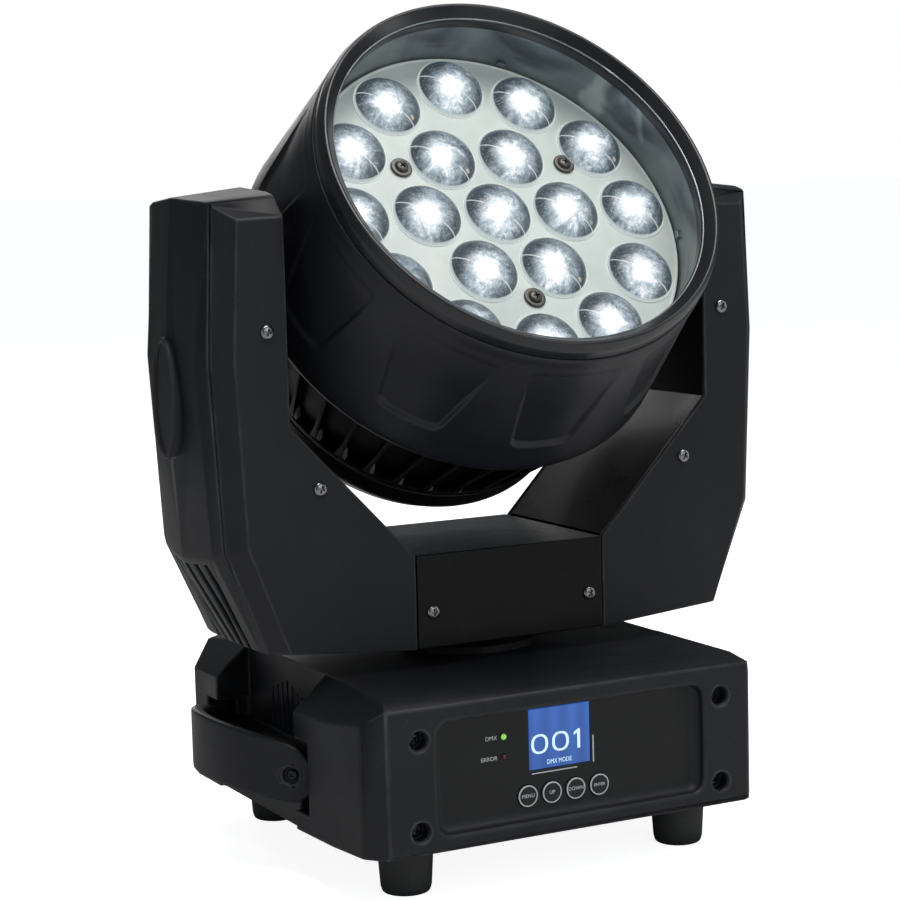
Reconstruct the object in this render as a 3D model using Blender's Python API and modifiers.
"""A moving head wash light: a base, a yoke that pans on it, and a lamp head that tilts in the yoke.

Lengths are metres and +Z is up. The origin is the centre of the base's underside, on the pan axis.
The display faces -Y. The head's own frame has its origin on the tilt axis and +Z along the beam.
"""

import math

import bmesh
import bpy
from mathutils import Matrix, Vector

MM = 0.001
GAP = 0.3 * MM            # clearance between neighbouring pieces
TINY = 0.01 * MM          # merge distance
OVERCUT = 1.0 * MM        # how far a cutter runs past the face that it opens

# Base
BASE_HALF_WIDTH = 120 * MM
BASE_HALF_DEPTH = 114 * MM
BASE_HEIGHT = 78.5 * MM
BASE_WALL = 2.5 * MM
BLOCK_HOLLOW_X = 112.5 * MM     # how far out the hollows in the side blocks reach
BLOCK_HOLLOW_Y = 101 * MM
FRONT_CORNER = ((105.5, 114), (115, 101.4), (118.4, 72.3), (120, 34.5))   # in millimetres, on the plan
REAR_CORNER = ((105.5, 114), (120, 101))
SHOULDER_LOW = 61.4 * MM        # where the sloping shoulder leaves the side wall
SHOULDER_INNER = 101.2 * MM     # where the shoulder meets the top
FRONT_EDGE_DROP = 5 * MM
FRONT_EDGE_RUN = 11.4 * MM
RECESS_FRONT = -34.5 * MM       # handle recess, along Y
RECESS_REAR = 68.5 * MM
RECESS_WALL = 100 * MM
RECESS_FLOOR = 36 * MM
SILL_FACE = 117 * MM
POCKET_DEPTH = 15 * MM          # pocket in each block for the end of a handle
POCKET_LOW = 10 * MM
POCKET_HIGH = 48 * MM
PANEL_HALF_WIDTH = 78 * MM
PANEL_LOW = 8.2 * MM
PANEL_HIGH = 65 * MM
PANEL_CORNER = 7 * MM
PANEL_RECESS = 7 * MM           # how far back the control panel sits
REAR_RECESS = 2.6 * MM
COLLAR_WALL = 2.2 * MM          # the frame round the control panel
PANEL_THICK = 2 * MM
VENT_COUNT = 7                  # upright air slots behind each handle
VENT_WIDTH = 2.6 * MM
VENT_PITCH = 6.5 * MM
VENT_RISE = 30 * MM             # the tallest slot's top above the recess floor
CORNER_SCREW_X = 88.2 * MM
CORNER_SCREW_Z = (12 * MM, 57.6 * MM)
CORNER_SCREW_RADIUS = 3.2 * MM
PLATE_THICK = 2 * MM
FOOT_HEIGHT = 26 * MM
FOOT_X = 81.6 * MM
FOOT_Y = 81.8 * MM
FOOT_BOTTOM_RADIUS = 12 * MM
FOOT_TOP_RADIUS = 14.5 * MM

# Control panel
DISPLAY_X = -4.9 * MM
DISPLAY_Z = 47.7 * MM
DISPLAY_WIDTH = 35.6 * MM
DISPLAY_HEIGHT = 31 * MM
BUTTON_NAMES = ("menu_button", "up_button", "down_button", "enter_button")
BUTTON_FIRST_X = -24.5 * MM
BUTTON_PITCH = 14 * MM
BUTTON_Z = 19.6 * MM
BUTTON_RADIUS = 5.6 * MM
BUTTON_PROUD = 0.9 * MM
STEM_RADIUS = 2 * MM
LED_X = -37.4 * MM
LED_Z = {"dmx_led": 51.7 * MM, "error_led": 41.3 * MM}
LED_RADIUS = 1.5 * MM

# Electronics in the base
BOARD_BEHIND_PANEL = 7 * MM
BOARD_HALF_WIDTH = 70 * MM
BOARD_THICK = 1.6 * MM
SUPPLY_LOW = (-80 * MM, 8 * MM)
SUPPLY_HIGH = (70 * MM, 88 * MM)
SUPPLY_HEIGHT = 40 * MM

# Handles
HANDLE_CENTRE_X = 76.4 * MM
HANDLE_CENTRE_Y = 17 * MM
HANDLE_OUTER = 73.6 * MM
HANDLE_INNER = 65.6 * MM
HANDLE_HALF_ANGLE = math.radians(58.8)
HANDLE_LOW = 13 * MM
HANDLE_HIGH = 43 * MM
HANDLE_LOW_RISE = 0.21          # how much each edge climbs for each unit that the strap stands out
HANDLE_HIGH_RISE = 0.33
HANDLE_ROOT_X = 114.5 * MM
HANDLE_END_ROUND = 13 * MM
HANDLE_SCREW_ANGLE = math.radians(49.5)
HANDLE_SCREW_Z = 29.5 * MM
BOSS_HALF_HEIGHT = 8 * MM

# Pan drive
PAN_FLANGE_RADIUS = 38 * MM
PAN_SHAFT_RADIUS = 14 * MM
PAN_SHAFT_BORE = 9 * MM
PAN_SHAFT_LOW = 60 * MM
PAN_SHAFT_HIGH = 118 * MM
PAN_BELT_LOW = 104 * MM
PAN_BELT_HIGH = 113 * MM
PAN_PULLEY_RADIUS = 30 * MM
PAN_MOTOR_X = -95 * MM
PAN_PINION_RADIUS = 9 * MM
BELT_THICK = 1.4 * MM
BELT_GAP = 0.7 * MM

# Yoke
YOKE_HALF_DEPTH = 52.3 * MM
YOKE_BOTTOM = 88.8 * MM
CROSSBAR_HALF_WIDTH = 55.7 * MM
CROSSBAR_TOP = 137.8 * MM
ARM_INNER_X = 123.3 * MM
ARM_KNEE_Z = 208.6 * MM
COVER_WALL = 2.5 * MM
SHEET = 1.8 * MM
FRAME_SHEET = 2.5 * MM
FRAME_LOW = 91.5 * MM
FRAME_HALF_DEPTH = 40 * MM
FRAME_BEND_X = 50 * MM
FRAME_RISE = 7.1 * MM           # the frame's floor climbs this much from its bend to the upright
ARM_SLOTS = 5
ARM_SLOT_PITCH = 10 * MM
ARM_SLOT_WIDTH = 4.8 * MM
ARM_SLOT_DEPTH = 12 * MM
ARM_SLOT_UP = 22 * MM           # along the slope, from the slots' centre
ARM_SLOT_DOWN = 31 * MM
ARM_SLOT_X = 150 * MM
ARM_SLOT_Z = 119 * MM
ARM_SLOT_LEAN = math.radians(29.6)
EMBLEM_Z = 223 * MM
EMBLEM_HALF_WIDTH = 15 * MM
EMBLEM_HALF_HEIGHT = 31 * MM
EMBLEM_ROOT_X = 163 * MM
EMBLEM_FACE_X = 170.2 * MM
INNER_PLATE_TOP = 309.5 * MM
UPRIGHT_X = 127 * MM
UPRIGHT_TOP = 305 * MM
UPRIGHT_HALF_DEPTH = 34 * MM

# Tilt drive
TILT_Z = 276.5 * MM
REST_TILT = math.radians(53.4)
HUB_RADIUS = 11 * MM
HUB_SHAFT_RADIUS = 8 * MM
TILT_PULLEY_RADIUS = 26 * MM
TILT_PULLEY_X = 148 * MM
TILT_PULLEY_WIDTH = 7.5 * MM
TILT_MOTOR_Z = 150 * MM
TILT_PINION_RADIUS = 8 * MM
MOTOR_SIDE = 42 * MM
MOTOR_SHAFT_RADIUS = 2.5 * MM

# Head, in its own frame
RING_STEPS = 36
RIM_FRONT = 97 * MM
RIM_REAR = 86 * MM
RIM_RADIUS = 109.5 * MM
SHROUD_FRONT_RADIUS = 109.8 * MM
SHROUD_REAR_RADIUS = 119.5 * MM
SHROUD_REAR = -5 * MM
SHROUD_WALL = 2.5 * MM
LOUVRE_REAR = -68 * MM
LOUVRE_FRONT_RADIUS = 115 * MM
LOUVRE_REAR_RADIUS = 95.5 * MM
LOUVRE_COUNT = 36
REAR_SLOTS = 12
BAFFLE_RADIUS = 104.2 * MM
LENS_PLATE_FRONT = 57.5 * MM
LENS_PLATE_RADIUS = 103.4 * MM
LENS_PITCH = 40.9 * MM
LENS_RADIUS = 16.4 * MM
LENS_RISE = 8 * MM
LENS_STEPS = 12
PLATE_SCREW_RADIUS = 56 * MM
HEAT_SINK_RADIUS = 91 * MM
FIN_RADIUS = 79 * MM
FIN_PITCH = 13 * MM
FIN_THICK = 2 * MM
CHASSIS_FRONT = 22.5 * MM
ZOOM_RADIUS = 98 * MM
ZOOM_ANGLE = math.radians(75)
ZOOM_SCREW_RADIUS = 3 * MM
FAN_HALF = 46 * MM
FAN_FRONT = -35 * MM
FAN_REAR = -60 * MM
FAN_BORE = 43 * MM
BLADES = 7


# ---------------------------------------------------------------- helpers

def clear_scene():
    for thing in list(bpy.data.objects):
        bpy.data.objects.remove(thing, do_unlink=True)


def make_collection(name):
    group = bpy.data.collections.new(name)
    bpy.context.scene.collection.children.link(group)
    return group


def make_material(name, colour, roughness, metallic=0.0):
    finish = bpy.data.materials.new(name)
    finish.use_nodes = True
    shader = finish.node_tree.nodes["Principled BSDF"]
    shader.inputs["Base Color"].default_value = (*colour, 1.0)
    shader.inputs["Roughness"].default_value = roughness
    shader.inputs["Metallic"].default_value = metallic
    return finish


def add_mesh_object(name, shape, finish=None, parent=None):
    """Turns a bmesh into an object. With a finish it is a part, and without one it is a cutter."""
    mesh = bpy.data.meshes.new(name)
    shape.to_mesh(mesh)
    shape.free()
    thing = bpy.data.objects.new(name, mesh)
    if finish is None:
        CUTTERS.objects.link(thing)
        thing.hide_render = True
        thing.display_type = "WIRE"
    else:
        PARTS.objects.link(thing)
        mesh.materials.append(finish)
    thing.parent = parent
    return thing


def box(low, high):
    shape = bmesh.new()
    bmesh.ops.create_cube(shape, size=1.0)
    size = Vector(high) - Vector(low)
    centre = (Vector(high) + Vector(low)) / 2
    bmesh.ops.transform(shape, matrix=Matrix.Translation(centre) @ Matrix.Diagonal((*size, 1.0)), verts=shape.verts)
    return shape


def cylinder(radius, low, high, axis="Z", centre=(0.0, 0.0), steps=24):
    """A round bar from low to high along an axis. centre gives its other two coordinates in X, Y, Z order."""
    shape = bmesh.new()
    bmesh.ops.create_cone(
        shape, cap_ends=True, segments=steps, radius1=radius, radius2=radius, depth=high - low
    )
    shift = Matrix.Translation((0, 0, (low + high) / 2))
    place = {
        "Z": Matrix.Translation((*centre, 0)),
        "X": Matrix.Translation((0, *centre)) @ Matrix.Rotation(math.pi / 2, 4, "Y"),
        "Y": Matrix.Translation((centre[0], 0, centre[1])) @ Matrix.Rotation(-math.pi / 2, 4, "X"),
    }[axis]
    bmesh.ops.transform(shape, matrix=place @ shift, verts=shape.verts)
    return shape


def circle(x, y, radius, steps=16, start=0.0):
    turn = 2 * math.pi / steps
    return [(x + radius * math.cos(start + i * turn), y + radius * math.sin(start + i * turn)) for i in range(steps)]


def rounded_rectangle(low, high, radius, steps=3):
    """The outline of a rectangle with round corners, anticlockwise."""
    points = []
    centres = (
        (high[0] - radius, high[1] - radius),
        (low[0] + radius, high[1] - radius),
        (low[0] + radius, low[1] + radius),
        (high[0] - radius, low[1] + radius),
    )
    for quarter, (x, y) in enumerate(centres):
        for i in range(steps + 1):
            angle = (quarter + i / steps) * math.pi / 2
            points.append((x + radius * math.cos(angle), y + radius * math.sin(angle)))
    return points


def rectangle(low, high):
    return [(low[0], low[1]), (high[0], low[1]), (high[0], high[1]), (low[0], high[1])]


def plate(outlines, low, high, axis="Z"):
    """A flat piece: the first outline is its edge and any others are holes. It spans low to high along the axis.
    An outline holds (x, y) for axis Z, (x, z) for axis Y and (y, z) for axis X."""
    curve = bpy.data.curves.new("outline", "CURVE")
    curve.dimensions = "2D"
    curve.fill_mode = "BOTH"
    curve.extrude = (high - low) / 2
    for outline in outlines:
        spline = curve.splines.new("POLY")
        spline.points.add(len(outline) - 1)
        for point, (x, y) in zip(spline.points, outline):
            point.co = (x, y, 0, 1)
        spline.use_cyclic_u = True
    sketch = bpy.data.objects.new("outline", curve)
    CUTTERS.objects.link(sketch)
    evaluated = sketch.evaluated_get(bpy.context.evaluated_depsgraph_get())
    mesh = bpy.data.meshes.new_from_object(evaluated)
    shape = bmesh.new()
    shape.from_mesh(mesh)
    bmesh.ops.remove_doubles(shape, verts=shape.verts, dist=TINY)
    bpy.data.objects.remove(sketch)
    bpy.data.curves.remove(curve)
    bpy.data.meshes.remove(mesh)
    middle = (low + high) / 2
    place = {
        "Z": Matrix.Translation((0, 0, middle)),
        "Y": Matrix.Translation((0, middle, 0)) @ Matrix.Rotation(math.pi / 2, 4, "X"),
        "X": Matrix(((0, 0, 1, middle), (1, 0, 0, 0), (0, 1, 0, 0), (0, 0, 0, 1))),
    }[axis]
    bmesh.ops.transform(shape, matrix=place, verts=shape.verts)
    bmesh.ops.recalc_face_normals(shape, faces=shape.faces)
    return shape


def loft(rings):
    """A closed body through rings of (x, y, z) points that all have the same number of points."""
    shape = bmesh.new()
    loops = [[shape.verts.new(point) for point in ring] for ring in rings]
    count = len(loops[0])
    for near, far in zip(loops, loops[1:]):
        for i in range(count):
            j = (i + 1) % count
            shape.faces.new((near[i], near[j], far[j], far[i]))
    shape.faces.new(loops[0])
    shape.faces.new(loops[-1])
    bmesh.ops.recalc_face_normals(shape, faces=shape.faces)
    return shape


def turned(name, profile, finish=None, parent=None, steps=RING_STEPS, location=(0, 0, 0), rotation=(0, 0, 0)):
    """A solid of revolution about its local Z. profile holds (radius, height), down the outer side and up the inner."""
    mesh = bpy.data.meshes.new(name)
    points = [(radius, 0, height) for radius, height in profile]
    pairs = [(i, (i + 1) % len(points)) for i in range(len(points))]
    edges = [pair for pair in pairs if profile[pair[0]][0] > 0 or profile[pair[1]][0] > 0]
    mesh.from_pydata(points, edges, [])
    thing = bpy.data.objects.new(name, mesh)
    if finish is None:
        CUTTERS.objects.link(thing)
        thing.hide_render = True
        thing.display_type = "WIRE"
    else:
        PARTS.objects.link(thing)
        mesh.materials.append(finish)
    screw = thing.modifiers.new("turn", "SCREW")
    screw.axis = "Z"
    screw.steps = steps
    screw.render_steps = steps
    screw.use_merge_vertices = True
    screw.merge_threshold = TINY
    screw.use_smooth_shade = True
    thing.location = location
    thing.rotation_euler = rotation
    thing.parent = parent
    return thing


def transform(shape, matrix):
    bmesh.ops.transform(shape, matrix=matrix, verts=shape.verts)
    return shape


def mirror_x(shape):
    """The same shape on the other side, with its faces still pointing out."""
    bmesh.ops.transform(shape, matrix=Matrix.Diagonal((-1, 1, 1, 1)), verts=shape.verts)
    bmesh.ops.reverse_faces(shape, faces=shape.faces)
    return shape


def gather(shapes):
    """Puts several separate closed shapes in one bmesh."""
    whole = bmesh.new()
    for shape in shapes:
        mesh = bpy.data.meshes.new("gathered")
        shape.to_mesh(mesh)
        shape.free()
        whole.from_mesh(mesh)
        bpy.data.meshes.remove(mesh)
    return whole


def combine(thing, cutter, operation="DIFFERENCE"):
    step = thing.modifiers.new(operation.lower(), "BOOLEAN")
    step.operation = operation
    step.solver = "EXACT"
    step.object = cutter
    return thing


def cut(thing, shape, parent=None):
    return combine(thing, add_mesh_object(thing.name + "_cut", shape, parent=parent))


def join(thing, shape, parent=None):
    return combine(thing, add_mesh_object(thing.name + "_join", shape, parent=parent), "UNION")


def sides():
    return (("left", -1), ("right", 1))


# ---------------------------------------------------------------- base

def base_outline():
    """The plan of the base, anticlockwise from the front right corner."""
    right = [(x * MM, -y * MM) for x, y in FRONT_CORNER]
    right += [(x * MM, y * MM) for x, y in reversed(REAR_CORNER)]
    return right + [(-x, y) for x, y in reversed(right)]


def shoulder_cutter(side):
    """The wedge above the sloping shoulder, which runs the length of the base."""
    run = BASE_HALF_WIDTH - SHOULDER_INNER
    rise = BASE_HEIGHT - SHOULDER_LOW
    outline = [
        (side * (BASE_HALF_WIDTH + run), SHOULDER_LOW - rise),
        (side * (BASE_HALF_WIDTH + run), BASE_HEIGHT + rise),
        (side * (SHOULDER_INNER - run), BASE_HEIGHT + rise),
    ]
    reach = BASE_HALF_DEPTH + OVERCUT
    return plate([outline], -reach, reach, "Y")


def edge_cutter(side):
    """The wedge that bevels the long top edge at the front or the back."""
    outline = [
        (side * (BASE_HALF_DEPTH + FRONT_EDGE_RUN), BASE_HEIGHT - 2 * FRONT_EDGE_DROP),
        (side * (BASE_HALF_DEPTH + FRONT_EDGE_RUN), BASE_HEIGHT + FRONT_EDGE_DROP),
        (side * (BASE_HALF_DEPTH - 2 * FRONT_EDGE_RUN), BASE_HEIGHT + FRONT_EDGE_DROP),
    ]
    reach = BASE_HALF_WIDTH + OVERCUT
    return plate([outline], -reach, reach, "X")


def handle_recess(side):
    """The finger space behind a handle, the trimmed sill below it and the pockets for the handle's two ends."""
    outer = BASE_HALF_WIDTH + OVERCUT
    shapes = [
        box((RECESS_WALL, RECESS_FRONT, RECESS_FLOOR), (outer, RECESS_REAR, BASE_HEIGHT + OVERCUT)),
        box((SILL_FACE, RECESS_FRONT, -OVERCUT), (outer, RECESS_REAR, RECESS_FLOOR + OVERCUT)),
    ]
    pocket_inner = SILL_FACE - POCKET_DEPTH
    for near, far in ((RECESS_FRONT, RECESS_FRONT - POCKET_DEPTH), (RECESS_REAR, RECESS_REAR + POCKET_DEPTH)):
        outward = math.copysign(OVERCUT, near - far)
        low, high = sorted((near + outward, far))
        shapes.append(box((pocket_inner, low, POCKET_LOW), (outer + OVERCUT, high, POCKET_HIGH)))
    return shapes if side > 0 else [mirror_x(shape) for shape in shapes]


def base_cavities():
    """The main hollow and the hollows in the four side blocks, all open at the bottom."""
    inner_y = BASE_HALF_DEPTH - BASE_WALL
    inner_x = RECESS_WALL - BASE_WALL
    inner_z = BASE_HEIGHT - BASE_WALL
    outline = [
        (-inner_y, -OVERCUT),
        (inner_y, -OVERCUT),
        (inner_y, inner_z - FRONT_EDGE_DROP),
        (inner_y - FRONT_EDGE_RUN, inner_z),
        (FRONT_EDGE_RUN - inner_y, inner_z),
        (-inner_y, inner_z - FRONT_EDGE_DROP),
    ]
    shapes = [plate([outline], -inner_x, inner_x, "X")]
    block_top = SHOULDER_LOW - BASE_WALL
    pocket_front = RECESS_FRONT - POCKET_DEPTH - BASE_WALL
    pocket_rear = RECESS_REAR + POCKET_DEPTH + BASE_WALL
    outer_x = BLOCK_HOLLOW_X
    block_end = BLOCK_HOLLOW_Y
    for _, side in sides():
        for near, far in ((-block_end, pocket_front), (pocket_rear, block_end)):
            low_x, high_x = sorted((side * (inner_x - OVERCUT), side * outer_x))
            shapes.append(box((low_x, near, -2 * OVERCUT), (high_x, far, block_top)))
    return shapes


def panel_collar():
    """The block behind the front wall that the opening is cut through, so that it frames the control panel."""
    half = PANEL_HALF_WIDTH + COLLAR_WALL
    corners = ((-half, PANEL_LOW - COLLAR_WALL), (half, PANEL_HIGH + COLLAR_WALL))
    outline = rounded_rectangle(*corners, PANEL_CORNER + COLLAR_WALL)
    return plate([outline], BASE_WALL / 2 - BASE_HALF_DEPTH, PANEL_RECESS + PANEL_THICK - BASE_HALF_DEPTH, "Y")


def panel_opening(side):
    """The opening for the control panel at the front, or for the connector panel at the back."""
    outline = rounded_rectangle((-PANEL_HALF_WIDTH, PANEL_LOW), (PANEL_HALF_WIDTH, PANEL_HIGH), PANEL_CORNER)
    depth = BASE_WALL if side > 0 else PANEL_RECESS + PANEL_THICK
    low, high = sorted((side * (BASE_HALF_DEPTH + OVERCUT), side * (BASE_HALF_DEPTH - depth - OVERCUT)))
    return plate([outline], low, high, "Y")


def recess_vents(side):
    """Upright air slots in the wall behind a handle."""
    middle = (RECESS_FRONT + RECESS_REAR) / 2
    low_x, high_x = sorted((side * (RECESS_WALL - BASE_WALL - OVERCUT), side * (RECESS_WALL + OVERCUT)))
    shapes = []
    for i in range(VENT_COUNT):
        from_middle = i - (VENT_COUNT - 1) / 2
        y = middle + from_middle * VENT_PITCH
        top = RECESS_FLOOR + VENT_RISE - abs(from_middle) * 2 * MM
        shapes.append(box((low_x, y - VENT_WIDTH / 2, RECESS_FLOOR + 4 * MM), (high_x, y + VENT_WIDTH / 2, top)))
    return gather(shapes)


def handle_boss(side, end):
    """The block behind the end of a handle that its screw goes into."""
    reach = HANDLE_INNER - 1.3 * GAP
    outline = []
    for degrees in (57.5, 54, 50, 47):
        angle = math.radians(degrees)
        outline.append((HANDLE_CENTRE_X + reach * math.cos(angle), reach * math.sin(angle)))
    outline += [(118 * MM, 41 * MM), (101 * MM, 48 * MM), (101 * MM, 58 * MM)]
    points = [(side * x, HANDLE_CENTRE_Y + end * y) for x, y in outline]
    return plate([points], HANDLE_SCREW_Z - BOSS_HALF_HEIGHT, HANDLE_SCREW_Z + BOSS_HALF_HEIGHT)


def build_base_shell(finish):
    shell = add_mesh_object("base_shell", plate([base_outline()], 0, BASE_HEIGHT), finish)
    for _, side in sides():
        cut(shell, shoulder_cutter(side))
        cut(shell, edge_cutter(side))
    for cavity in base_cavities():
        cut(shell, cavity)
    join(shell, panel_collar())
    for _, side in sides():
        for shape in handle_recess(side):
            cut(shell, shape)
        for end in (-1, 1):
            join(shell, handle_boss(side, end))
        cut(shell, recess_vents(side))
        cut(shell, panel_opening(side))
    cut(shell, cylinder(PAN_SHAFT_RADIUS + 1 * MM, BASE_HEIGHT - 2 * BASE_WALL, BASE_HEIGHT + OVERCUT))
    holes = []
    front = -BASE_HALF_DEPTH - OVERCUT
    for x in (-CORNER_SCREW_X, CORNER_SCREW_X):
        for z in CORNER_SCREW_Z:
            holes.append(cylinder(CORNER_SCREW_RADIUS, front, 2 * BASE_WALL - BASE_HALF_DEPTH, "Y", (x, z), 10))
    cut(shell, gather(holes))
    return shell


def build_bottom_plate(finish):
    half_x = RECESS_WALL - BASE_WALL - GAP
    half_y = BASE_HALF_DEPTH - BASE_WALL - GAP
    outline = rectangle((-half_x, -half_y), (half_x, half_y))
    return add_mesh_object("base_bottom_plate", plate([outline], 0, PLATE_THICK), finish)


def build_feet(finish):
    profile = [
        (0, -GAP),
        (FOOT_TOP_RADIUS, -GAP),
        (FOOT_BOTTOM_RADIUS + 0.8 * MM, 2.5 * MM - FOOT_HEIGHT),
        (FOOT_BOTTOM_RADIUS - 0.8 * MM, -FOOT_HEIGHT),
        (0, -FOOT_HEIGHT),
    ]
    for along, y in (("front", -FOOT_Y), ("rear", FOOT_Y)):
        for side_name, side in sides():
            turned(f"foot_{along}_{side_name}", profile, finish, steps=20, location=(side * FOOT_X, y, 0))


def handle_point(angle, radius, height, rise, side):
    """A point on a handle. The strap climbs as it stands out from the base."""
    x = HANDLE_CENTRE_X + radius * math.cos(angle)
    y = HANDLE_CENTRE_Y + radius * math.sin(angle)
    return (side * x, y, height + rise * (x - HANDLE_ROOT_X))


def build_handles(finish):
    mean_radius = (HANDLE_OUTER + HANDLE_INNER) / 2
    near_end = [(1 - math.cos(math.pi / 2 * i / 4)) * HANDLE_END_ROUND / mean_radius for i in range(5)]
    middle_steps = 12
    start = HANDLE_HALF_ANGLE - near_end[-1]
    angles = [HANDLE_HALF_ANGLE - turn for turn in near_end]
    angles += [start * (1 - 2 * i / middle_steps) for i in range(1, middle_steps)]
    angles += [turn - HANDLE_HALF_ANGLE for turn in reversed(near_end)]
    for side_name, side in sides():
        rings = []
        for angle in angles:
            from_end = (HANDLE_HALF_ANGLE - abs(angle)) * mean_radius
            short = max(0, HANDLE_END_ROUND - from_end)
            drop = HANDLE_END_ROUND - math.sqrt(HANDLE_END_ROUND ** 2 - short ** 2)
            low = HANDLE_LOW + drop
            high = HANDLE_HIGH - drop
            ring = []
            for radius, height, rise in (
                (HANDLE_INNER, low, HANDLE_LOW_RISE),
                (HANDLE_OUTER, low, HANDLE_LOW_RISE),
                (HANDLE_OUTER, high, HANDLE_HIGH_RISE),
                (HANDLE_INNER, high, HANDLE_HIGH_RISE),
            ):
                ring.append(handle_point(angle, radius, height, rise, side))
            rings.append(ring)
        handle = add_mesh_object(f"handle_{side_name}", loft(rings), finish)
        for end in (-1, 1):
            turn = end * HANDLE_SCREW_ANGLE
            place = Matrix.Translation((side * HANDLE_CENTRE_X, HANDLE_CENTRE_Y, HANDLE_SCREW_Z))
            place = place @ Matrix.Rotation(turn if side > 0 else math.pi - turn, 4, "Z")
            wide = cylinder(5 * MM, HANDLE_INNER + 3 * MM, HANDLE_OUTER + 2 * MM, "X", steps=14)
            narrow = cylinder(2.2 * MM, HANDLE_INNER - 3 * MM, HANDLE_INNER + 4 * MM, "X", steps=10)
            cut(handle, transform(wide, place))
            cut(handle, transform(narrow, place))


def panel_outline():
    inset = GAP
    return rounded_rectangle(
        (-PANEL_HALF_WIDTH + inset, PANEL_LOW + inset), (PANEL_HALF_WIDTH - inset, PANEL_HIGH - inset), PANEL_CORNER - inset
    )


def button_x(index):
    return BUTTON_FIRST_X + index * BUTTON_PITCH


def build_front_panel(finish):
    half_w = DISPLAY_WIDTH / 2 + GAP
    half_h = DISPLAY_HEIGHT / 2 + GAP
    outlines = [
        panel_outline(),
        rectangle((DISPLAY_X - half_w, DISPLAY_Z - half_h), (DISPLAY_X + half_w, DISPLAY_Z + half_h)),
    ]
    for i in range(len(BUTTON_NAMES)):
        outlines.append(circle(button_x(i), BUTTON_Z, BUTTON_RADIUS + 1.5 * GAP, 16))
    for z in LED_Z.values():
        outlines.append(circle(LED_X, z, LED_RADIUS + GAP, 10))
    front = -BASE_HALF_DEPTH + PANEL_RECESS
    return add_mesh_object("front_panel", plate(outlines, front, front + PANEL_THICK, "Y"), finish)


def build_panel_parts(display, button, green, red):
    front = -BASE_HALF_DEPTH + PANEL_RECESS
    half_w = DISPLAY_WIDTH / 2
    half_h = DISPLAY_HEIGHT / 2
    screen = box(
        (DISPLAY_X - half_w, front + 0.4 * MM, DISPLAY_Z - half_h),
        (DISPLAY_X + half_w, front + 4 * MM, DISPLAY_Z + half_h),
    )
    add_mesh_object("lcd_display", screen, display)
    for (name, z), finish in zip(LED_Z.items(), (green, red)):
        profile = [
            (0, 1.2 * MM),
            (LED_RADIUS * 0.7, 0.9 * MM),
            (LED_RADIUS, 0.2 * MM),
            (LED_RADIUS, -5.5 * MM),
            (0, -5.5 * MM),
        ]
        turned(name, profile, finish, steps=8, location=(LED_X, front, z), rotation=(math.pi / 2, 0, 0))
    for i, name in enumerate(BUTTON_NAMES):
        profile = [
            (0, BUTTON_PROUD),
            (BUTTON_RADIUS, BUTTON_PROUD),
            (BUTTON_RADIUS, -3 * MM),
            (STEM_RADIUS, -3 * MM),
            (STEM_RADIUS, -5 * MM),
            (0, -5 * MM),
        ]
        turned(name, profile, button, steps=16, location=(button_x(i), front, BUTTON_Z), rotation=(math.pi / 2, 0, 0))


def build_base_electronics(board, metal):
    y = -BASE_HALF_DEPTH + PANEL_RECESS + BOARD_BEHIND_PANEL
    half = BOARD_HALF_WIDTH
    edge = rectangle((-half, PANEL_LOW + 2 * MM), (half, PANEL_HIGH - 2 * MM))
    add_mesh_object("control_board", plate([edge], y, y + BOARD_THICK, "Y"), board)
    bottom = PLATE_THICK + GAP
    supply = box((*SUPPLY_LOW, bottom), (*SUPPLY_HIGH, bottom + SUPPLY_HEIGHT))
    add_mesh_object("power_supply", supply, metal)


# ---------------------------------------------------------------- rear connectors

REAR_PARTS = {
    # name: (x, z, hole radius in the panel)
    "power_inlet": (-54 * MM, 38 * MM, 12 * MM),
    "power_outlet": (-18 * MM, 38 * MM, 12 * MM),
    "dmx_input": (18 * MM, 38 * MM, 11.5 * MM),
    "dmx_output": (54 * MM, 38 * MM, 11.5 * MM),
}


def build_rear_panel(finish):
    outlines = [panel_outline()]
    for x, z, radius in REAR_PARTS.values():
        outlines.append(circle(x, z, radius + 1.5 * GAP, 16))
    back = BASE_HALF_DEPTH - REAR_RECESS
    return add_mesh_object("rear_panel", plate(outlines, back - PANEL_THICK, back, "Y"), finish)


def build_rear_connectors(black, metal):
    """Panel sockets: a square flange outside the panel, and a round body with an open mouth through it."""
    back = BASE_HALF_DEPTH - REAR_RECESS
    depth = 20 * MM
    for name, (x, z, radius) in REAR_PARTS.items():
        half = radius + 1.5 * MM
        flange = rounded_rectangle((x - half, z - half - 2 * MM), (x + half, z + half + 2 * MM), 3 * MM, 2)
        socket = add_mesh_object(name, plate([flange], back + GAP, back + 2.5 * MM, "Y"), metal if "dmx" in name else black)
        join(socket, cylinder(radius, back - depth, back + 1.5 * MM, "Y", (x, z), 16))
        cut(socket, cylinder(radius - 2 * MM, back - depth + 3 * MM, back + 5 * MM, "Y", (x, z), 16))


# ---------------------------------------------------------------- pan drive

def belt_outline(centre_a, radius_a, centre_b, radius_b, steps=10):
    """The outline of a band stretched round two circles, anticlockwise."""
    span = Vector(centre_b) - Vector(centre_a)
    heading = math.atan2(span.y, span.x)
    lean = math.acos((radius_a - radius_b) / span.length)
    points = []
    for centre, radius, start, end in (
        (centre_a, radius_a, heading + lean, heading + 2 * math.pi - lean),
        (centre_b, radius_b, heading - lean, heading + lean),
    ):
        for i in range(steps + 1):
            angle = start + (end - start) * i / steps
            points.append((centre[0] + radius * math.cos(angle), centre[1] + radius * math.sin(angle)))
    return points


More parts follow.
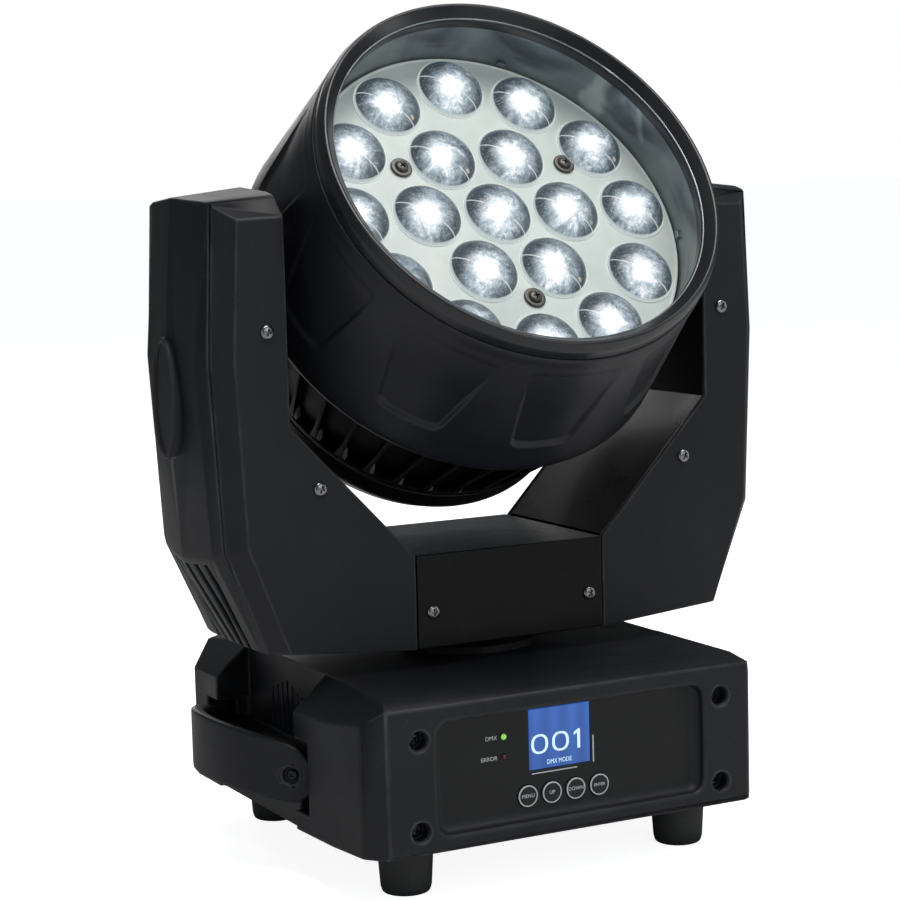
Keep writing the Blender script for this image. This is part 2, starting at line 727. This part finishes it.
def build_pan_drive(steel, plastic, rubber):
    top = BASE_HEIGHT
    shaft_profile = [
        (PAN_SHAFT_RADIUS, PAN_SHAFT_HIGH),
        (PAN_SHAFT_RADIUS, top + 4 * MM),
        (PAN_FLANGE_RADIUS, top + 4 * MM),
        (PAN_FLANGE_RADIUS, top + GAP),
        (PAN_SHAFT_RADIUS, top + GAP),
        (PAN_SHAFT_RADIUS, PAN_SHAFT_LOW),
        (PAN_SHAFT_BORE, PAN_SHAFT_LOW),
        (PAN_SHAFT_BORE, PAN_SHAFT_HIGH),
    ]
    turned("pan_shaft", shaft_profile, steel, steps=24)
    bore = PAN_SHAFT_RADIUS + GAP
    plate_top = FRAME_LOW + FRAME_SHEET
    bearing_profile = [
        (24 * MM, plate_top + 5.5 * MM),
        (24 * MM, plate_top + 3.5 * MM),
        (33 * MM, plate_top + 3.5 * MM),
        (33 * MM, plate_top + GAP),
        (24 * MM, plate_top + GAP),
        (24 * MM, FRAME_LOW - 5 * MM),
        (bore, FRAME_LOW - 5 * MM),
        (bore, plate_top + 5.5 * MM),
    ]
    turned("pan_bearing", bearing_profile, steel, steps=24)
    pulley_profile = [
        (PAN_PULLEY_RADIUS, PAN_BELT_HIGH),
        (PAN_PULLEY_RADIUS, PAN_BELT_LOW),
        (bore, PAN_BELT_LOW),
        (bore, PAN_BELT_HIGH),
    ]
    turned("pan_pulley", pulley_profile, plastic, steps=24)
    pinion_profile = [
        (PAN_PINION_RADIUS, PAN_BELT_HIGH - GAP),
        (PAN_PINION_RADIUS, PAN_BELT_LOW),
        (MOTOR_SHAFT_RADIUS + GAP, PAN_BELT_LOW),
        (MOTOR_SHAFT_RADIUS + GAP, PAN_BELT_HIGH - GAP),
    ]
    turned("pan_motor_pulley", pinion_profile, steel, steps=12, location=(PAN_MOTOR_X, 0, 0))
    ends = ((0, 0), PAN_PULLEY_RADIUS + BELT_GAP, (PAN_MOTOR_X, 0), PAN_PINION_RADIUS + BELT_GAP)
    outside = belt_outline(ends[0], ends[1] + BELT_THICK, ends[2], ends[3] + BELT_THICK)
    belt = plate([outside, belt_outline(*ends)], PAN_BELT_LOW + 1 * MM, PAN_BELT_HIGH - 1.5 * MM)
    add_mesh_object("pan_belt", belt, rubber)
    half = MOTOR_SIDE / 2
    bottom = PAN_BELT_HIGH + 2.5 * MM
    leg_y = half + 5 * MM
    low_x = PAN_MOTOR_X - half + 4 * MM
    slope = FRAME_RISE / (UPRIGHT_X + FRAME_SHEET - FRAME_BEND_X)
    floor = plate_top + slope * (abs(low_x) - FRAME_BEND_X) + GAP
    shelf_low = PAN_BELT_HIGH + 0.4 * MM
    shelf_high = bottom + GAP
    bracket = [
        (-leg_y - SHEET, floor),
        (-leg_y, floor),
        (-leg_y, shelf_low),
        (leg_y, shelf_low),
        (leg_y, floor),
        (leg_y + SHEET, floor),
        (leg_y + SHEET, shelf_high),
        (-leg_y - SHEET, shelf_high),
    ]
    motor = add_mesh_object("pan_motor", plate([bracket], low_x, PAN_MOTOR_X + half, "X"), steel)
    centre = (PAN_MOTOR_X, 0)
    cut(motor, cylinder(PAN_PINION_RADIUS + 2 * MM, shelf_low - OVERCUT, shelf_high + OVERCUT, "Z", centre))
    body = rounded_rectangle((PAN_MOTOR_X - half, -half), (PAN_MOTOR_X + half, half), 5 * MM, 2)
    join(motor, plate([body], bottom, bottom + 36 * MM))
    join(motor, cylinder(MOTOR_SHAFT_RADIUS, PAN_BELT_LOW - 1 * MM, bottom + 1 * MM, "Z", centre, 12))


# ---------------------------------------------------------------- yoke

def arm_section(outer, top):
    """One XZ outline of the right arm: outer holds four (x, z) points down its outside, top the inner top height."""
    inner = [
        (CROSSBAR_HALF_WIDTH + GAP, YOKE_BOTTOM),
        (CROSSBAR_HALF_WIDTH + GAP, CROSSBAR_TOP),
        (ARM_INNER_X, ARM_KNEE_Z),
    ]
    return [(ARM_INNER_X, top)] + [(x * MM, z * MM) for x, z in outer] + inner


ARM_STATIONS = (
    # y, the arm's outer points from its top to its bottom, and its inner top height; mirrored for the back
    (-52.3, ((148.1, 312), (151.9, 243), (148, 150), (127, 94.5)), 313),
    (-42.5, ((157.2, 318.5), (160.2, 243), (156, 148), (134, 94)), 322.5),
    (-40, ((158, 320), (162, 243), (157.5, 147), (134.5, 93.7)), 324),
    (-32.3, ((159.3, 321.5), (165.5, 243), (159.5, 144), (135.5, 93.5)), 325.5),
    (0, ((162.3, 323.5), (168.3, 240), (163, 141), (136, 93.5)), 328),
)


def arm_solid(inset):
    """The right arm as a closed body, or shrunk by inset on its outside for the hollow."""
    stations = list(ARM_STATIONS) + [(-y, outer, top) for y, outer, top in reversed(ARM_STATIONS[:-1])]
    rings = []
    for y, outer, top in stations:
        shrunk = [(x - inset / MM, z - inset / MM) for x, z in outer[:1]]
        shrunk += [(x - inset / MM, z) for x, z in outer[1:3]]
        shrunk += [(outer[3][0] - inset / MM, outer[3][1] + inset / MM)]
        section = arm_section(shrunk, top * MM - inset)
        if inset:
            section = [
                (x - 3 * inset, z) if i in (0, 7) else (x - 3 * inset, z + 3 * inset) if i == 6 else
                (x - inset, z + inset) if i == 5 else (x, z)
                for i, (x, z) in enumerate(section)
            ]
        depth = y * MM * (1 - inset / YOKE_HALF_DEPTH)
        rings.append([(x, depth, z) for x, z in section])
    return loft(rings)


def vent_cutters():
    """Slots in the sloping lower outside of the right arm."""
    shapes = []
    half = ARM_SLOT_WIDTH / 2
    for i in range(ARM_SLOTS):
        y = (i - (ARM_SLOTS - 1) / 2) * ARM_SLOT_PITCH
        low = (-ARM_SLOT_DEPTH, y - half, -ARM_SLOT_DOWN)
        shapes.append(box(low, (ARM_SLOT_DEPTH, y + half, ARM_SLOT_UP)))
    place = Matrix.Translation((ARM_SLOT_X, 0, ARM_SLOT_Z)) @ Matrix.Rotation(ARM_SLOT_LEAN, 4, "Y")
    return [transform(shape, place) for shape in shapes]


def emblem():
    """The plain oval boss on the outside of the right arm."""
    turns = [2 * math.pi * i / 20 for i in range(20)]
    points = [(EMBLEM_HALF_WIDTH * math.cos(a), EMBLEM_HALF_HEIGHT * math.sin(a)) for a in turns]
    return plate([[(y, z + EMBLEM_Z) for y, z in points]], EMBLEM_ROOT_X, EMBLEM_FACE_X, "X")


def build_arm_covers(finish):
    for side_name, side in sides():
        outer = arm_solid(0)
        hollow = arm_solid(COVER_WALL)
        boss = emblem()
        slots = gather(vent_cutters())
        shapes = [outer, hollow, boss, slots]
        if side < 0:
            shapes = [mirror_x(shape) for shape in shapes]
        cover = add_mesh_object(f"arm_cover_{side_name}", shapes[0], finish)
        join(cover, shapes[2])
        cut(cover, shapes[1])
        cut(cover, shapes[3])


def build_arm_inner_plates(finish):
    """The bent sheet on the head's side of each arm."""
    half = YOKE_HALF_DEPTH - COVER_WALL - GAP
    face = ARM_INNER_X + 0.4 * MM
    knee = ARM_KNEE_Z
    low_x = CROSSBAR_HALF_WIDTH + 1.2 * MM
    low_z = CROSSBAR_TOP + 0.4 * MM
    top = INNER_PLATE_TOP
    bend = SHEET * 0.45
    outline = [
        (face, top),
        (face, knee),
        (low_x, low_z),
        (low_x + SHEET, low_z - 0.2 * MM),
        (low_x + SHEET * 1.4, low_z - 0.2 * MM),
        (face + SHEET, knee - bend),
        (face + SHEET, top),
    ]
    for side_name, side in sides():
        points = [(side * x, z) for x, z in outline]
        sheet = add_mesh_object(f"arm_inner_plate_{side_name}", plate([points], -half, half, "Y"), finish)
        low, high = sorted((side * (face - 5 * MM), side * (face + 8 * MM)))
        cut(sheet, cylinder(HUB_RADIUS + 1 * MM, low, high, "X", (0, TILT_Z), 16))


def build_crossbar_cover(finish):
    """A sheet bent over the crossbar: front, top and back."""
    half = YOKE_HALF_DEPTH
    wall = SHEET
    outline = [
        (-half, YOKE_BOTTOM),
        (-half + wall, YOKE_BOTTOM),
        (-half + wall, CROSSBAR_TOP - wall),
        (half - wall, CROSSBAR_TOP - wall),
        (half - wall, YOKE_BOTTOM),
        (half, YOKE_BOTTOM),
        (half, CROSSBAR_TOP),
        (-half, CROSSBAR_TOP),
    ]
    reach = CROSSBAR_HALF_WIDTH - GAP
    cover = add_mesh_object("crossbar_cover", plate([outline], -reach, reach, "X"), finish)
    return cover


def build_yoke_frame(finish):
    """The steel frame inside the covers: a floor across the yoke and an upright in each arm."""
    x = UPRIGHT_X
    thick = FRAME_SHEET
    under = [
        (-x - thick, FRAME_LOW + FRAME_RISE),
        (-FRAME_BEND_X, FRAME_LOW),
        (FRAME_BEND_X, FRAME_LOW),
        (x + thick, FRAME_LOW + FRAME_RISE),
    ]
    outline = under + [(px, pz + thick) for px, pz in reversed(under)]
    frame = add_mesh_object("yoke_frame", plate([outline], -FRAME_HALF_DEPTH, FRAME_HALF_DEPTH, "Y"), finish)
    for _, side in sides():
        low, high = sorted((side * x, side * (x + thick)))
        foot = FRAME_LOW + FRAME_RISE + thick / 2
        upright = box((low, -UPRIGHT_HALF_DEPTH, foot), (high, UPRIGHT_HALF_DEPTH, UPRIGHT_TOP))
        join(frame, upright)
        cut(frame, cylinder(14 * MM + 2 * GAP, low - 2 * MM, high + 2 * MM, "X", (0, TILT_Z), 16))
        cut(frame, cylinder(11 * MM, low - 2 * MM, high + 2 * MM, "X", (0, TILT_MOTOR_Z), 12))
    cut(frame, cylinder(24 * MM + 2 * GAP, FRAME_LOW - 2 * MM, FRAME_LOW + thick + 2 * MM, "Z", steps=24))
    return frame


# ---------------------------------------------------------------- tilt drive

def build_tilt_drive(steel, plastic, rubber):
    for side_name, side in sides():
        inner = HUB_SHAFT_RADIUS + GAP
        outer = 14 * MM
        low = UPRIGHT_X - 1 * MM
        profile = [
            (outer, low + 7 * MM),
            (outer, low),
            (inner, low),
            (inner, low + 7 * MM),
        ]
        turned(f"tilt_bearing_{side_name}", profile, steel, steps=16, location=(0, 0, TILT_Z), rotation=(0, side * math.pi / 2, 0))
    far = TILT_PULLEY_X + TILT_PULLEY_WIDTH
    pulley_profile = [
        (TILT_PULLEY_RADIUS, far),
        (TILT_PULLEY_RADIUS, TILT_PULLEY_X),
        (HUB_SHAFT_RADIUS + GAP, TILT_PULLEY_X),
        (HUB_SHAFT_RADIUS + GAP, far),
    ]
    turned("tilt_pulley", pulley_profile, plastic, HEAD, steps=24, rotation=(0, math.pi / 2, 0))
    pinion_profile = [
        (TILT_PINION_RADIUS, far),
        (TILT_PINION_RADIUS, TILT_PULLEY_X),
        (MOTOR_SHAFT_RADIUS + GAP, TILT_PULLEY_X),
        (MOTOR_SHAFT_RADIUS + GAP, far),
    ]
    turned(
        "tilt_motor_pulley", pinion_profile, steel, steps=12, location=(0, 0, TILT_MOTOR_Z), rotation=(0, math.pi / 2, 0)
    )
    ends = ((0, TILT_MOTOR_Z), TILT_PINION_RADIUS + BELT_GAP, (0, TILT_Z), TILT_PULLEY_RADIUS + BELT_GAP)
    outside = belt_outline(ends[0], ends[1] + BELT_THICK, ends[2], ends[3] + BELT_THICK)
    belt = plate([outside, belt_outline(*ends)], TILT_PULLEY_X + 1 * MM, far - 1 * MM, "X")
    add_mesh_object("tilt_belt", belt, rubber)
    half = MOTOR_SIDE / 2
    body = rounded_rectangle((-half, TILT_MOTOR_Z - half), (half, TILT_MOTOR_Z + half), 5 * MM, 2)
    motor_face = UPRIGHT_X - GAP
    motor = add_mesh_object("tilt_motor", plate([body], motor_face - 32 * MM, motor_face, "X"), steel)
    join(motor, cylinder(MOTOR_SHAFT_RADIUS, motor_face - 1 * MM, far + 1 * MM, "X", (0, TILT_MOTOR_Z), 12))


# ---------------------------------------------------------------- head

def build_head_casing(black, gloss, satin):
    rim_profile = [
        (104.6 * MM, RIM_FRONT - 0.6 * MM),
        (106.3 * MM, RIM_FRONT),
        (108 * MM, RIM_FRONT - 0.8 * MM),
        (109.2 * MM, RIM_FRONT - 2.8 * MM),
        (RIM_RADIUS, RIM_FRONT - 6 * MM),
        (RIM_RADIUS, RIM_REAR),
        (100.4 * MM, RIM_REAR),
        (100.4 * MM, RIM_REAR + 1.5 * MM),
    ]
    turned("front_ring", rim_profile, gloss, HEAD)
    baffle_profile = [
        (102.4 * MM, RIM_REAR - GAP),
        (BAFFLE_RADIUS + 1.4 * MM, 67 * MM),
        (BAFFLE_RADIUS + 1.4 * MM, 40 * MM),
        (BAFFLE_RADIUS, 40 * MM),
        (BAFFLE_RADIUS, 67 * MM),
        (101 * MM, RIM_REAR - GAP),
    ]
    turned("baffle_ring", baffle_profile, satin, HEAD)
    front = RIM_REAR - GAP
    wall = SHROUD_WALL
    shroud_profile = [
        (SHROUD_FRONT_RADIUS, front),
        (SHROUD_FRONT_RADIUS + 1 * MM, 77 * MM),
        (SHROUD_REAR_RADIUS, 1 * MM),
        (SHROUD_REAR_RADIUS - 2.5 * MM, SHROUD_REAR),
        (SHROUD_REAR_RADIUS - 3 * MM - wall, SHROUD_REAR),
        (SHROUD_FRONT_RADIUS + 1 * MM - wall, 77 * MM),
        (SHROUD_FRONT_RADIUS - wall, front),
    ]
    shroud = turned("head_shroud", shroud_profile, black, HEAD)
    louvre_front = SHROUD_REAR - GAP
    louvre_profile = [
        (LOUVRE_FRONT_RADIUS, louvre_front),
        (LOUVRE_REAR_RADIUS, LOUVRE_REAR),
        (LOUVRE_REAR_RADIUS - 4 * MM, LOUVRE_REAR),
        (LOUVRE_FRONT_RADIUS - 5 * MM, louvre_front),
    ]
    louvre = turned("louvre_ring", louvre_profile, black, HEAD, steps=LOUVRE_COUNT)
    slots = []
    lean = math.atan2(LOUVRE_FRONT_RADIUS - LOUVRE_REAR_RADIUS, louvre_front - LOUVRE_REAR)
    for i in range(LOUVRE_COUNT):
        slot = box((-16 * MM, -4 * MM, -25 * MM), (16 * MM, 4 * MM, 25 * MM))
        transform(slot, Matrix.Rotation(math.radians(9), 4, "X"))
        middle = (LOUVRE_FRONT_RADIUS + LOUVRE_REAR_RADIUS) / 2
        place = Matrix.Rotation(2 * math.pi * (i + 0.5) / LOUVRE_COUNT, 4, "Z")
        place = place @ Matrix.Translation((middle, 0, (louvre_front + LOUVRE_REAR) / 2)) @ Matrix.Rotation(lean, 4, "Y")
        slots.append(transform(slot, place))
    cut(louvre, gather(slots), HEAD)
    for thing in (shroud, louvre):
        for _, side in sides():
            low, high = sorted((side * 95 * MM, side * 125 * MM))
            cut(thing, cylinder(HUB_RADIUS + 1 * MM, low, high, "X", steps=18), HEAD)
    rear_front = LOUVRE_REAR - GAP
    cover_profile = [
        (95.7 * MM, rear_front),
        (94.5 * MM, -82 * MM),
        (87 * MM, -94 * MM),
        (74 * MM, -101 * MM),
        (0, -101 * MM),
        (0, -98.5 * MM),
        (73 * MM, -98.5 * MM),
        (84.8 * MM, -92.2 * MM),
        (92 * MM, -81 * MM),
        (93.2 * MM, rear_front),
    ]
    cover = turned("rear_cover", cover_profile, black, HEAD)
    slots = []
    for i in range(REAR_SLOTS):
        slot = box((30 * MM, -1.8 * MM, -103 * MM), (64 * MM, 1.8 * MM, -96 * MM))
        turn = 2 * math.pi * i / REAR_SLOTS + math.pi / RING_STEPS
        slots.append(transform(slot, Matrix.Rotation(turn, 4, "Z")))
    cut(cover, gather(slots), HEAD)


def lens_centres():
    centres = [(0.0, 0.0)]
    centres += circle(0, 0, LENS_PITCH, 6)
    centres += circle(0, 0, 2 * LENS_PITCH, 12)
    return centres


def plate_screw_centres():
    return circle(0, 0, PLATE_SCREW_RADIUS, 3, math.radians(30))


def guide_centres():
    return [
        (ZOOM_RADIUS * math.cos(ZOOM_ANGLE + k * 2 * math.pi / 3), ZOOM_RADIUS * math.sin(ZOOM_ANGLE + k * 2 * math.pi / 3))
        for k in range(3)
    ]


def lens(x, y, low):
    """One lens: a short cylinder from low, with a round crown."""
    shoulder = LENS_PLATE_FRONT + 0.5 * MM
    levels = [(LENS_RADIUS, low)]
    levels += [
        (LENS_RADIUS * math.cos(rise), shoulder + LENS_RISE * math.sin(rise))
        for rise in (math.radians(degrees) for degrees in (0, 52))
    ]
    return loft([[(px, py, height) for px, py in circle(x, y, radius, LENS_STEPS)] for radius, height in levels])


def build_optics(white, glass, steel, plastic):
    back = LENS_PLATE_FRONT - 2 * MM
    outlines = [circle(0, 0, LENS_PLATE_RADIUS, RING_STEPS)]
    outlines += [circle(x, y, LENS_RADIUS + GAP, LENS_STEPS) for x, y in lens_centres()]
    outlines += [circle(x, y, 1.8 * MM, 6) for x, y in plate_screw_centres()]
    add_mesh_object("lens_plate", plate(outlines, back, LENS_PLATE_FRONT), white, CARRIAGE)
    web_top = back - GAP
    web_low = web_top - 4.5 * MM
    web_outlines = [circle(0, 0, LENS_PLATE_RADIUS, RING_STEPS)]
    web_outlines += [circle(x, y, 1.8 * MM, 6) for x, y in plate_screw_centres()]
    web_outlines += [circle(x, y, 3.4 * MM, 10) for x, y in guide_centres()[:1]]
    web_outlines += [circle(x, y, 3 * MM, 10) for x, y in guide_centres()[1:]]
    array = add_mesh_object("lens_array", plate(web_outlines, web_low, web_top), glass, CARRIAGE)
    domes = [lens(x, y, web_low + 1 * MM) for x, y in lens_centres()]
    join(array, gather(domes), CARRIAGE)
    nut_x, nut_y = guide_centres()[0]
    nut_profile = [
        (5.3 * MM, web_low - GAP),
        (5.3 * MM, 33.2 * MM),
        (ZOOM_SCREW_RADIUS + GAP, 33.2 * MM),
        (ZOOM_SCREW_RADIUS + GAP, web_low - GAP),
    ]
    turned("zoom_nut", nut_profile, plastic, CARRIAGE, steps=12, location=(nut_x, nut_y, 0))
    for i, (x, y) in enumerate(guide_centres()[1:]):
        rod = cylinder(2.5 * MM, -6 * MM, web_top, "Z", (x, y), 10)
        add_mesh_object(f"guide_rod_{i + 1}", rod, steel, CARRIAGE)


def build_light_engine(board, aluminium, steel, black):
    slab_low = CHASSIS_FRONT + GAP
    slab_high = 32 * MM
    fin_low = -30 * MM
    comb = [(-HEAT_SINK_RADIUS, slab_low), (-HEAT_SINK_RADIUS, slab_high), (HEAT_SINK_RADIUS, slab_high), (HEAT_SINK_RADIUS, slab_low)]
    count = 11
    for i in reversed(range(count)):
        x = (i - (count - 1) / 2) * FIN_PITCH
        comb += [
            (x + FIN_THICK / 2, slab_low),
            (x + FIN_THICK / 2, fin_low),
            (x - FIN_THICK / 2, fin_low),
            (x - FIN_THICK / 2, slab_low),
        ]
    sink = add_mesh_object("heat_sink", plate([comb], -HEAT_SINK_RADIUS, HEAT_SINK_RADIUS, "Y"), aluminium, HEAD)
    limit = turned(
        "heat_sink_limit",
        [
            (0, slab_high + OVERCUT),
            (HEAT_SINK_RADIUS - OVERCUT, slab_high + OVERCUT),
            (HEAT_SINK_RADIUS - OVERCUT, slab_low - 0.5 * GAP),
            (FIN_RADIUS, slab_low - 0.5 * GAP),
            (FIN_RADIUS, fin_low - OVERCUT),
            (0, fin_low - OVERCUT),
        ],
        None,
        HEAD,
        steps=32,
    )
    combine(sink, limit, "INTERSECT")
    led_board = plate([circle(0, 0, HEAT_SINK_RADIUS - OVERCUT, 32)], slab_high + GAP, slab_high + 2 * MM)
    add_mesh_object("led_board", led_board, board, HEAD)
    outlines = [circle(0, 0, 108 * MM, RING_STEPS), circle(0, 0, FIN_RADIUS + 1.5 * MM, 32)]
    outlines.append(circle(*guide_centres()[0], 6.5 * MM, 12))
    outlines += [circle(x, y, 3 * MM, 10) for x, y in guide_centres()[1:]]
    chassis = add_mesh_object("head_chassis", plate(outlines, CHASSIS_FRONT - 3 * MM, CHASSIS_FRONT), steel, HEAD)
    for _, side in sides():
        low, high = sorted((side * 96 * MM, side * 98.7 * MM))
        tab = box((low, -18 * MM, -18 * MM), (high, 18 * MM, CHASSIS_FRONT - 1.5 * MM))
        join(chassis, tab, HEAD)
    hub_profile_inner = 99 * MM
    for side_name, side in sides():
        tip = TILT_PULLEY_X + TILT_PULLEY_WIDTH + 2 * MM if side > 0 else 138 * MM
        profile = [
            (0, tip),
            (HUB_SHAFT_RADIUS, tip),
            (HUB_SHAFT_RADIUS, ARM_INNER_X - 0.5 * MM),
            (HUB_RADIUS, ARM_INNER_X - 0.5 * MM),
            (HUB_RADIUS, hub_profile_inner + 4 * MM),
            (16 * MM, hub_profile_inner + 4 * MM),
            (16 * MM, hub_profile_inner),
            (0, hub_profile_inner),
        ]
        turned(f"tilt_hub_{side_name}", profile, steel, HEAD, steps=18, rotation=(0, side * math.pi / 2, 0))
    motor_x, motor_y = guide_centres()[0]
    motor_top = CHASSIS_FRONT - 3 * MM - GAP
    motor_profile = [
        (0, motor_top),
        (8.5 * MM, motor_top),
        (8.5 * MM, motor_top - 18 * MM),
        (0, motor_top - 18 * MM),
    ]
    turned("zoom_motor", motor_profile, black, HEAD, steps=16, location=(motor_x, motor_y, 0))
    screw_profile = [
        (0, 43 * MM),
        (ZOOM_SCREW_RADIUS, 43 * MM),
        (ZOOM_SCREW_RADIUS, motor_top + GAP),
        (0, motor_top + GAP),
    ]
    turned("zoom_screw", screw_profile, steel, HEAD, steps=10, location=(motor_x, motor_y, 0))


def blade(index):
    """One twisted fan blade from the hub outward."""
    twist = math.radians(38)
    shape = box((15 * MM, -9 * MM, -0.9 * MM), (FAN_BORE - 2 * MM, 9 * MM, 0.9 * MM))
    transform(shape, Matrix.Rotation(twist, 4, "X"))
    return transform(shape, Matrix.Rotation(2 * math.pi * index / BLADES, 4, "Z"))


def build_fan(black):
    middle = (FAN_FRONT + FAN_REAR) / 2
    outline = rounded_rectangle((-FAN_HALF, -FAN_HALF), (FAN_HALF, FAN_HALF), 4 * MM, 2)
    frame = add_mesh_object("fan_frame", plate([outline, circle(0, 0, FAN_BORE, 24)], FAN_REAR, FAN_FRONT), black, HEAD)
    spokes = [box((-FAN_BORE - 1 * MM, -2 * MM, FAN_REAR), (FAN_BORE + 1 * MM, 2 * MM, FAN_REAR + 3 * MM))]
    join(frame, gather(spokes), HEAD)
    join(frame, box((-2 * MM, -FAN_BORE - 1 * MM, FAN_REAR), (2 * MM, FAN_BORE + 1 * MM, FAN_REAR + 3 * MM)), HEAD)
    join(frame, cylinder(17 * MM, FAN_REAR, FAN_REAR + 3 * MM, steps=14), HEAD)
    rotor_profile = [
        (0, 9 * MM),
        (17 * MM, 9 * MM),
        (17 * MM, -8.5 * MM),
        (0, -8.5 * MM),
    ]
    rotor = turned("fan_rotor", rotor_profile, black, HEAD, steps=21, location=(0, 0, middle + 0.5 * MM))
    for i in range(BLADES):
        wing = transform(blade(i), Matrix.Translation((0, 0, middle + 0.5 * MM)))
        join(rotor, wing, HEAD)


def main():
    plastic = make_material("black_plastic", (0.022, 0.023, 0.025), 0.48)
    gloss = make_material("gloss_rim", (0.014, 0.015, 0.017), 0.22)
    sheet = make_material("black_sheet", (0.02, 0.022, 0.025), 0.42)
    satin = make_material("satin_baffle", (0.30, 0.33, 0.34), 0.3, 0.7)
    rubber = make_material("rubber", (0.015, 0.015, 0.015), 0.8)
    steel = make_material("steel", (0.55, 0.55, 0.56), 0.35, 1.0)
    aluminium = make_material("aluminium", (0.75, 0.76, 0.77), 0.4, 1.0)
    board = make_material("circuit_board", (0.02, 0.16, 0.07), 0.5)
    white = make_material("lens_plate_white", (0.86, 0.89, 0.86), 0.4)
    glass = make_material("lens_glass", (0.9, 0.95, 1.0), 0.05)
    display = make_material("display_blue", (0.03, 0.2, 0.8), 0.2)
    green = make_material("led_green", (0.1, 0.8, 0.1), 0.3)
    red = make_material("led_red", (0.3, 0.02, 0.02), 0.3)
    nylon = make_material("white_nylon", (0.75, 0.75, 0.72), 0.5)
    build_base_shell(plastic)
    build_bottom_plate(sheet)
    build_feet(rubber)
    build_handles(plastic)
    build_front_panel(sheet)
    build_panel_parts(display, plastic, green, red)
    build_base_electronics(board, steel)
    build_rear_panel(sheet)
    build_rear_connectors(plastic, steel)
    build_pan_drive(steel, nylon, rubber)
    build_arm_covers(plastic)
    build_arm_inner_plates(sheet)
    build_crossbar_cover(sheet)
    build_yoke_frame(steel)
    build_tilt_drive(steel, nylon, rubber)
    build_head_casing(plastic, gloss, satin)
    build_optics(white, glass, steel, nylon)
    build_light_engine(board, aluminium, steel, plastic)
    build_fan(plastic)


clear_scene()
PARTS = make_collection("moving_head_light")
CUTTERS = make_collection("cutters")
HEAD = bpy.data.objects.new("head_pivot", None)
PARTS.objects.link(HEAD)
HEAD.location = (0, 0, TILT_Z)
HEAD.rotation_euler = (REST_TILT, 0, 0)
CARRIAGE = bpy.data.objects.new("zoom_carriage", None)
PARTS.objects.link(CARRIAGE)
CARRIAGE.parent = HEAD
main()
